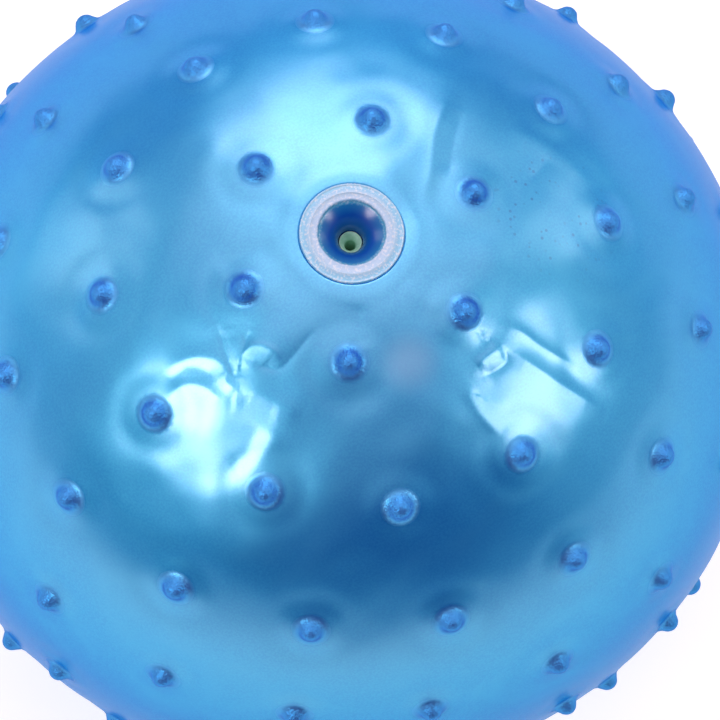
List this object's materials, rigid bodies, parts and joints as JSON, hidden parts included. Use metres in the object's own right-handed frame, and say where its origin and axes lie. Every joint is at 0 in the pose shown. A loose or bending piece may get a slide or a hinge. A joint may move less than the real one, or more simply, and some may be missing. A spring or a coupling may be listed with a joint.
{
  "type": "inflatable knobby playground ball",
  "caption": "Hollow inflatable vinyl ball covered in short rounded nubs, with a recessed funnel valve and a pull-out needle core.",
  "frame": {"origin": "the ball's centre", "axes": "+Z out through the middle of the valve, +X through one nub of the ring next to the valve"},
  "size_m": [0.1843, 0.1842, 0.1803],
  "materials": {
    "pearl_vinyl": "pearlescent satin gloss",
    "valve_vinyl": "frosted rim, polished funnel",
    "core_rubber": "matte"
  },
  "bodies": {
    "ball": {"ball_shell": "pearl_vinyl", "valve_housing": "valve_vinyl"},
    "core": {"valve_core": "core_rubber"}
  },
  "joints": [
    {"name": "valve_core_pull", "type": "slide", "parent": "ball", "child": "core", "axis": [0, 0, 1], "range_m": [0, 0.022]}
  ]
}
